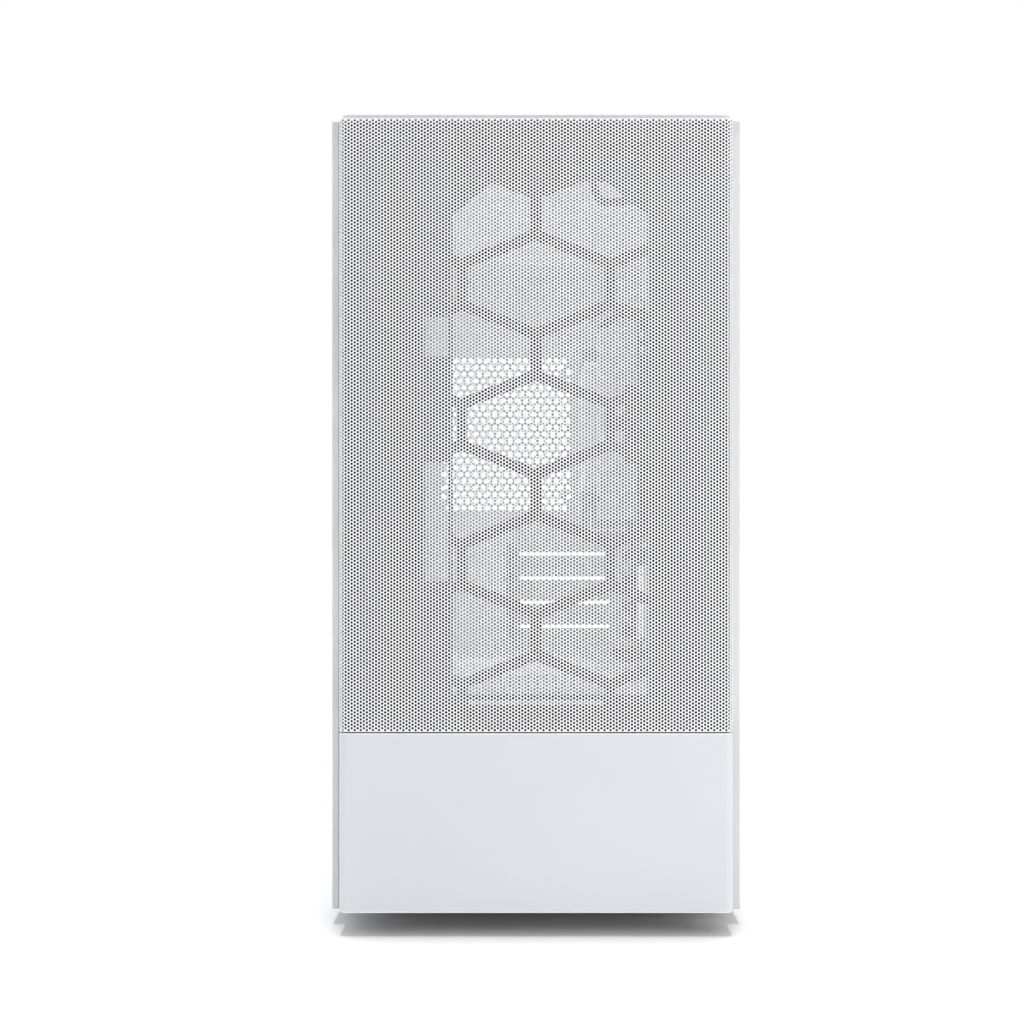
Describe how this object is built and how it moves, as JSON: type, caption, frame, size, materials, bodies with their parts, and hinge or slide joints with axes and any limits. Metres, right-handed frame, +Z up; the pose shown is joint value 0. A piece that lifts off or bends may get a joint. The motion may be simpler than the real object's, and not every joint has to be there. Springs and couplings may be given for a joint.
{
  "type": "desktop computer tower",
  "caption": "Small desktop computer tower with a perforated white front over a smooth band, a glass side door, a lift-off roof filter and a working board and power supply inside.",
  "frame": {"origin": "on the ground, below the middle of the box that holds the whole tower", "axes": "+X to the right as seen from the front, +Y from the front to the rear, +Z up"},
  "size_m": [0.217, 0.4, 0.43],
  "materials": {
    "inner_steel": "white powder coat, semi-matt",
    "dark_steel": "black powder coat, fine texture",
    "bare_steel": "zinc plated sheet",
    "white_steel": "white powder coat, smooth",
    "white_plastic": "white moulded plastic, satin",
    "black_plastic": "black moulded plastic, matt",
    "drive_alloy": "die-cast drive body",
    "rubber": "soft black rubber",
    "board_lacquer": "black solder mask",
    "circuit_green": "green solder mask",
    "brass": "plain turned brass",
    "white_alloy": "white lacquered aluminium",
    "cable_sleeve": "black sleeved wire",
    "door_glass": "clear toughened glass"
  },
  "bodies": {
    "chassis": {"floor_pan": "inner_steel", "rear_panel": "inner_steel", "top_frame": "inner_steel", "front_plate": "dark_steel", "motherboard_tray": "inner_steel", "psu_shroud": "inner_steel", "drive_cage": "bare_steel", "drive_caddies": "black_plastic", "hard_drive": "drive_alloy", "solid_state_drive": "black_plastic", "feet": "rubber", "slot_covers": "inner_steel", "slot_screws": "bare_steel", "door_hinge_plates": "inner_steel", "grommets": "rubber", "roof_cover": "white_plastic", "front_io_board": "black_plastic", "usb_ports": "bare_steel", "audio_jacks": "black_plastic", "psu_housing": "dark_steel", "psu_inlet": "black_plastic", "psu_fan_frame": "black_plastic", "psu_circuit": "circuit_green", "psu_screws": "bare_steel", "motherboard": "board_lacquer", "standoffs": "brass", "board_screws": "bare_steel", "processor_socket": "bare_steel", "processor": "bare_steel", "cooler_heatsink": "white_alloy", "cooler_fan_frame": "white_plastic", "memory_slots": "black_plastic", "memory_module_a": "white_alloy", "memory_module_b": "white_alloy", "expansion_slots": "black_plastic", "board_power_sockets": "black_plastic", "regulator_heatsink": "white_alloy", "chipset_heatsink": "white_alloy", "rear_ports": "bare_steel", "io_shield": "bare_steel", "board_power_cable": "cable_sleeve", "processor_power_cable": "cable_sleeve", "front_io_cable": "cable_sleeve", "drive_power_cable": "cable_sleeve"},
    "door": {"glass_door": "door_glass", "door_stile": "white_steel", "door_magnets": "bare_steel"},
    "front_panel": {"front_mesh": "white_steel", "front_band": "white_plastic", "front_carrier": "black_plastic"},
    "side_cover": {"side_panel": "white_steel", "panel_screws": "bare_steel"},
    "roof_filter": {"top_filter": "white_plastic"},
    "floor_filter": {"psu_filter": "black_plastic"},
    "power_key": {"power_button": "white_plastic"},
    "reset_key": {"reset_button": "black_plastic"},
    "cooler_rotor": {"cooler_fan_rotor": "white_plastic"},
    "supply_rotor": {"psu_fan_rotor": "black_plastic"},
    "rocker": {"psu_switch": "black_plastic"}
  },
  "joints": [
    {"name": "door_hinge", "type": "hinge", "parent": "chassis", "child": "door", "pos_m": [-0.1063, 0.18595, 0.215], "axis": [0, 0, -1], "range_deg": [0, 110]},
    {"name": "front_panel_pull", "type": "slide", "parent": "chassis", "child": "front_panel", "axis": [0, -1, 0], "range_m": [0, 0.04]},
    {"name": "side_cover_slide", "type": "slide", "parent": "chassis", "child": "side_cover", "axis": [0, 1, 0], "range_m": [0, 0.02]},
    {"name": "roof_filter_lift", "type": "slide", "parent": "chassis", "child": "roof_filter", "axis": [0, 0, 1], "range_m": [0, 0.05]},
    {"name": "floor_filter_pull", "type": "slide", "parent": "chassis", "child": "floor_filter", "axis": [0, 1, 0], "range_m": [0, 0.15]},
    {"name": "power_key_press", "type": "slide", "parent": "chassis", "child": "power_key", "axis": [0, 0, -1], "range_m": [0, 0.0015], "stiffness_N_per_m": 300, "springref_m": -0.001},
    {"name": "reset_key_press", "type": "slide", "parent": "chassis", "child": "reset_key", "axis": [0, 0, -1], "range_m": [0, 0.001], "stiffness_N_per_m": 300, "springref_m": -0.001},
    {"name": "cooler_fan_spin", "type": "hinge", "parent": "chassis", "child": "cooler_rotor", "pos_m": [0.0429, 0.10245, 0.29], "axis": [1, 0, 0], "continuous": true},
    {"name": "supply_fan_spin", "type": "hinge", "parent": "chassis", "child": "supply_rotor", "pos_m": [0.004, 0.12095, 0.027], "axis": [0, 0, 1], "continuous": true},
    {"name": "rocker_tilt", "type": "hinge", "parent": "chassis", "child": "rocker", "pos_m": [-0.046, 0.18845, 0.069], "axis": [1, 0, 0], "range_deg": [0, 16]}
  ]
}
